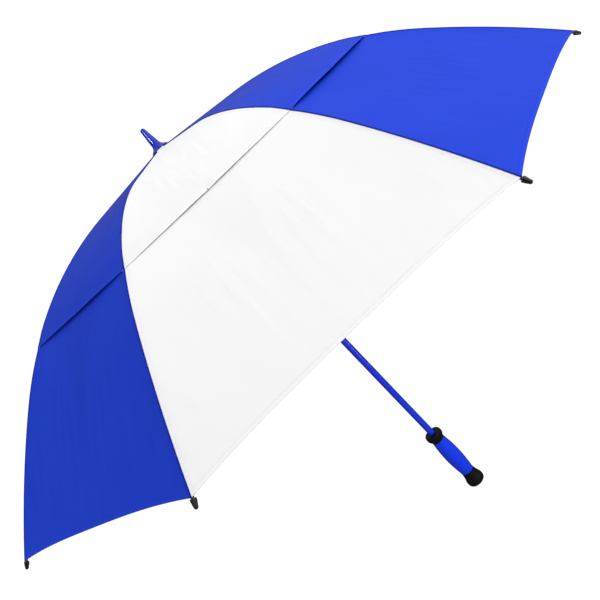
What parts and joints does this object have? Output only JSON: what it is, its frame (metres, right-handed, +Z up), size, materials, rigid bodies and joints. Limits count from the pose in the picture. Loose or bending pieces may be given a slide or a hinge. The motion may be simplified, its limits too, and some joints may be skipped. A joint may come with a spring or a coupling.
{
  "type": "golf umbrella",
  "caption": "Large golf umbrella with a double vented canopy in alternating blue and white gores, slim straight shaft, barrel grip, and ribs that fold down on a sliding runner.",
  "frame": {"origin": "centre of the flat end face of the handle's butt cap", "axes": "+Z runs up the shaft towards the ferrule; a white gore faces -Y, and ribs stand at 22.5 degrees from +X and every 45 degrees after that; the runner's release lever faces +X; the umbrella is open at rest"},
  "size_m": [1.2508, 1.2508, 1.0035],
  "materials": {
    "shaft": "glossy lacquered fibreglass tube, blue",
    "ferrule": "glossy moulded plastic, blue",
    "hub_plastic": "black glass-filled nylon, satin",
    "wire": "bright spring steel",
    "handle_rubber": "black moulded rubber, low sheen",
    "grip": "blue soft-touch foam rubber, fine pebble",
    "lever": "dark grey moulded plastic, ribbed pad",
    "rib": "black pultruded fibreglass rod with black-coated steel end fittings",
    "tip_plastic": "glossy black moulded plastic",
    "cloth_white": "white close-woven polyester canopy cloth",
    "cloth_blue": "royal blue close-woven polyester canopy cloth"
  },
  "bodies": {
    "shaft": {"shaft": "shaft", "ferrule": "ferrule", "crown": "hub_plastic", "crown_ring": "wire", "canopy_washer": "hub_plastic", "handle_collar": "handle_rubber", "handle_grip": "grip", "handle_butt": "handle_rubber"},
    "runner": {"runner": "hub_plastic", "runner_ring": "wire", "latch_spring": "wire"},
    "release_lever": {"release_lever": "lever"},
    "inner_rib_1": {"inner_rib_1": "rib", "upper_panel_1": "cloth_blue"},
    "outer_rib_1": {"outer_rib_1": "rib", "tip_cap_1": "tip_plastic", "lower_panel_1": "cloth_blue"},
    "stretcher_1": {"stretcher_1": "rib"},
    "inner_rib_2": {"inner_rib_2": "rib", "upper_panel_2": "cloth_white"},
    "outer_rib_2": {"outer_rib_2": "rib", "tip_cap_2": "tip_plastic", "lower_panel_2": "cloth_white"},
    "stretcher_2": {"stretcher_2": "rib"},
    "inner_rib_3": {"inner_rib_3": "rib", "upper_panel_3": "cloth_blue"},
    "outer_rib_3": {"outer_rib_3": "rib", "tip_cap_3": "tip_plastic", "lower_panel_3": "cloth_blue"},
    "stretcher_3": {"stretcher_3": "rib"},
    "inner_rib_4": {"inner_rib_4": "rib", "upper_panel_4": "cloth_white"},
    "outer_rib_4": {"outer_rib_4": "rib", "tip_cap_4": "tip_plastic", "lower_panel_4": "cloth_white"},
    "stretcher_4": {"stretcher_4": "rib"},
    "inner_rib_5": {"inner_rib_5": "rib", "upper_panel_5": "cloth_blue"},
    "outer_rib_5": {"outer_rib_5": "rib", "tip_cap_5": "tip_plastic", "lower_panel_5": "cloth_blue"},
    "stretcher_5": {"stretcher_5": "rib"},
    "inner_rib_6": {"inner_rib_6": "rib", "upper_panel_6": "cloth_white"},
    "outer_rib_6": {"outer_rib_6": "rib", "tip_cap_6": "tip_plastic", "lower_panel_6": "cloth_white"},
    "stretcher_6": {"stretcher_6": "rib"},
    "inner_rib_7": {"inner_rib_7": "rib", "upper_panel_7": "cloth_blue"},
    "outer_rib_7": {"outer_rib_7": "rib", "tip_cap_7": "tip_plastic", "lower_panel_7": "cloth_blue"},
    "stretcher_7": {"stretcher_7": "rib"},
    "inner_rib_8": {"inner_rib_8": "rib", "upper_panel_8": "cloth_white"},
    "outer_rib_8": {"outer_rib_8": "rib", "tip_cap_8": "tip_plastic", "lower_panel_8": "cloth_white"},
    "stretcher_8": {"stretcher_8": "rib"}
  },
  "joints": [
    {"name": "fold", "type": "hinge", "parent": "shaft", "child": "inner_rib_1", "pos_m": [0.01016, 0.00421, 0.9475], "axis": [-0.3827, 0.9239, 0], "range_deg": [0, 74], "deforming": ["upper_panel_1", "upper_panel_2", "upper_panel_3", "upper_panel_4", "upper_panel_5", "upper_panel_6", "upper_panel_7", "upper_panel_8", "lower_panel_1", "lower_panel_2", "lower_panel_3", "lower_panel_4", "lower_panel_5", "lower_panel_6", "lower_panel_7", "lower_panel_8"]},
    {"name": "rib_hinge_2", "type": "hinge", "parent": "shaft", "child": "inner_rib_2", "pos_m": [0.00421, 0.01016, 0.9475], "axis": [-0.9239, 0.3827, 0], "range_deg": [0, 74]},
    {"name": "rib_hinge_3", "type": "hinge", "parent": "shaft", "child": "inner_rib_3", "pos_m": [-0.00421, 0.01016, 0.9475], "axis": [-0.9239, -0.3827, 0], "range_deg": [0, 74]},
    {"name": "rib_hinge_4", "type": "hinge", "parent": "shaft", "child": "inner_rib_4", "pos_m": [-0.01016, 0.00421, 0.9475], "axis": [-0.3827, -0.9239, 0], "range_deg": [0, 74]},
    {"name": "rib_hinge_5", "type": "hinge", "parent": "shaft", "child": "inner_rib_5", "pos_m": [-0.01016, -0.00421, 0.9475], "axis": [0.3827, -0.9239, 0], "range_deg": [0, 74]},
    {"name": "rib_hinge_6", "type": "hinge", "parent": "shaft", "child": "inner_rib_6", "pos_m": [-0.00421, -0.01016, 0.9475], "axis": [0.9239, -0.3827, 0], "range_deg": [0, 74]},
    {"name": "rib_hinge_7", "type": "hinge", "parent": "shaft", "child": "inner_rib_7", "pos_m": [0.00421, -0.01016, 0.9475], "axis": [0.9239, 0.3827, 0], "range_deg": [0, 74]},
    {"name": "rib_hinge_8", "type": "hinge", "parent": "shaft", "child": "inner_rib_8", "pos_m": [0.01016, -0.00421, 0.9475], "axis": [0.3827, 0.9239, 0], "range_deg": [0, 74]},
    {"name": "rib_flex_1", "type": "hinge", "parent": "inner_rib_1", "child": "outer_rib_1", "pos_m": [0.32203, 0.13339, 0.87718], "axis": [-0.3827, 0.9239, 0], "range_deg": [-21.6, 0.1]},
    {"name": "rib_flex_2", "type": "hinge", "parent": "inner_rib_2", "child": "outer_rib_2", "pos_m": [0.13339, 0.32203, 0.87718], "axis": [-0.9239, 0.3827, 0], "range_deg": [-21.6, 0.1]},
    {"name": "rib_flex_3", "type": "hinge", "parent": "inner_rib_3", "child": "outer_rib_3", "pos_m": [-0.13339, 0.32203, 0.87718], "axis": [-0.9239, -0.3827, 0], "range_deg": [-21.6, 0.1]},
    {"name": "rib_flex_4", "type": "hinge", "parent": "inner_rib_4", "child": "outer_rib_4", "pos_m": [-0.32203, 0.13339, 0.87718], "axis": [-0.3827, -0.9239, 0], "range_deg": [-21.6, 0.1]},
    {"name": "rib_flex_5", "type": "hinge", "parent": "inner_rib_5", "child": "outer_rib_5", "pos_m": [-0.32203, -0.13339, 0.87718], "axis": [0.3827, -0.9239, 0], "range_deg": [-21.6, 0.1]},
    {"name": "rib_flex_6", "type": "hinge", "parent": "inner_rib_6", "child": "outer_rib_6", "pos_m": [-0.13339, -0.32203, 0.87718], "axis": [0.9239, -0.3827, 0], "range_deg": [-21.6, 0.1]},
    {"name": "rib_flex_7", "type": "hinge", "parent": "inner_rib_7", "child": "outer_rib_7", "pos_m": [0.13339, -0.32203, 0.87718], "axis": [0.9239, 0.3827, 0], "range_deg": [-21.6, 0.1]},
    {"name": "rib_flex_8", "type": "hinge", "parent": "inner_rib_8", "child": "outer_rib_8", "pos_m": [0.32203, -0.13339, 0.87718], "axis": [0.3827, 0.9239, 0], "range_deg": [-21.6, 0.1]},
    {"name": "stretcher_pivot_1", "type": "hinge", "parent": "inner_rib_1", "child": "stretcher_1", "pos_m": [0.3084, 0.12774, 0.87646], "axis": [-0.3827, 0.9239, 0], "range_deg": [-148.2, 0.2]},
    {"name": "stretcher_pivot_2", "type": "hinge", "parent": "inner_rib_2", "child": "stretcher_2", "pos_m": [0.12774, 0.3084, 0.87646], "axis": [-0.9239, 0.3827, 0], "range_deg": [-148.2, 0.2]},
    {"name": "stretcher_pivot_3", "type": "hinge", "parent": "inner_rib_3", "child": "stretcher_3", "pos_m": [-0.12774, 0.3084, 0.87646], "axis": [-0.9239, -0.3827, 0], "range_deg": [-148.2, 0.2]},
    {"name": "stretcher_pivot_4", "type": "hinge", "parent": "inner_rib_4", "child": "stretcher_4", "pos_m": [-0.3084, 0.12774, 0.87646], "axis": [-0.3827, -0.9239, 0], "range_deg": [-148.2, 0.2]},
    {"name": "stretcher_pivot_5", "type": "hinge", "parent": "inner_rib_5", "child": "stretcher_5", "pos_m": [-0.3084, -0.12774, 0.87646], "axis": [0.3827, -0.9239, 0], "range_deg": [-148.2, 0.2]},
    {"name": "stretcher_pivot_6", "type": "hinge", "parent": "inner_rib_6", "child": "stretcher_6", "pos_m": [-0.12774, -0.3084, 0.87646], "axis": [0.9239, -0.3827, 0], "range_deg": [-148.2, 0.2]},
    {"name": "stretcher_pivot_7", "type": "hinge", "parent": "inner_rib_7", "child": "stretcher_7", "pos_m": [0.12774, -0.3084, 0.87646], "axis": [0.9239, 0.3827, 0], "range_deg": [-148.2, 0.2]},
    {"name": "stretcher_pivot_8", "type": "hinge", "parent": "inner_rib_8", "child": "stretcher_8", "pos_m": [0.3084, -0.12774, 0.87646], "axis": [0.3827, 0.9239, 0], "range_deg": [-148.2, 0.2]},
    {"name": "runner_slide", "type": "hinge", "parent": "stretcher_1", "child": "runner", "pos_m": [0.01016, 0.00421, 0.80541], "axis": [-0.3827, 0.9239, 0], "range_deg": [-0.1, 74.1]},
    {"name": "latch", "type": "hinge", "parent": "runner", "child": "release_lever", "pos_m": [0.013, 0, 0.77541], "axis": [0, 1, 0], "range_deg": [0, 8], "deforming": ["latch_spring"]}
  ],
  "couplings": [
    {"joint": "rib_hinge_2", "follows": "fold", "ratio": 1},
    {"joint": "rib_hinge_3", "follows": "fold", "ratio": 1},
    {"joint": "rib_hinge_4", "follows": "fold", "ratio": 1},
    {"joint": "rib_hinge_5", "follows": "fold", "ratio": 1},
    {"joint": "rib_hinge_6", "follows": "fold", "ratio": 1},
    {"joint": "rib_hinge_7", "follows": "fold", "ratio": 1},
    {"joint": "rib_hinge_8", "follows": "fold", "ratio": 1},
    {"joint": "rib_flex_1", "follows": "fold", "ratio": -0.29054},
    {"joint": "rib_flex_2", "follows": "fold", "ratio": -0.29054},
    {"joint": "rib_flex_3", "follows": "fold", "ratio": -0.29054},
    {"joint": "rib_flex_4", "follows": "fold", "ratio": -0.29054},
    {"joint": "rib_flex_5", "follows": "fold", "ratio": -0.29054},
    {"joint": "rib_flex_6", "follows": "fold", "ratio": -0.29054},
    {"joint": "rib_flex_7", "follows": "fold", "ratio": -0.29054},
    {"joint": "rib_flex_8", "follows": "fold", "ratio": -0.29054},
    {"joint": "stretcher_pivot_1", "follows": "fold", "ratio": -2},
    {"joint": "stretcher_pivot_2", "follows": "fold", "ratio": -2},
    {"joint": "stretcher_pivot_3", "follows": "fold", "ratio": -2},
    {"joint": "stretcher_pivot_4", "follows": "fold", "ratio": -2},
    {"joint": "stretcher_pivot_5", "follows": "fold", "ratio": -2},
    {"joint": "stretcher_pivot_6", "follows": "fold", "ratio": -2},
    {"joint": "stretcher_pivot_7", "follows": "fold", "ratio": -2},
    {"joint": "stretcher_pivot_8", "follows": "fold", "ratio": -2},
    {"joint": "runner_slide", "follows": "fold", "ratio": 1}
  ]
}
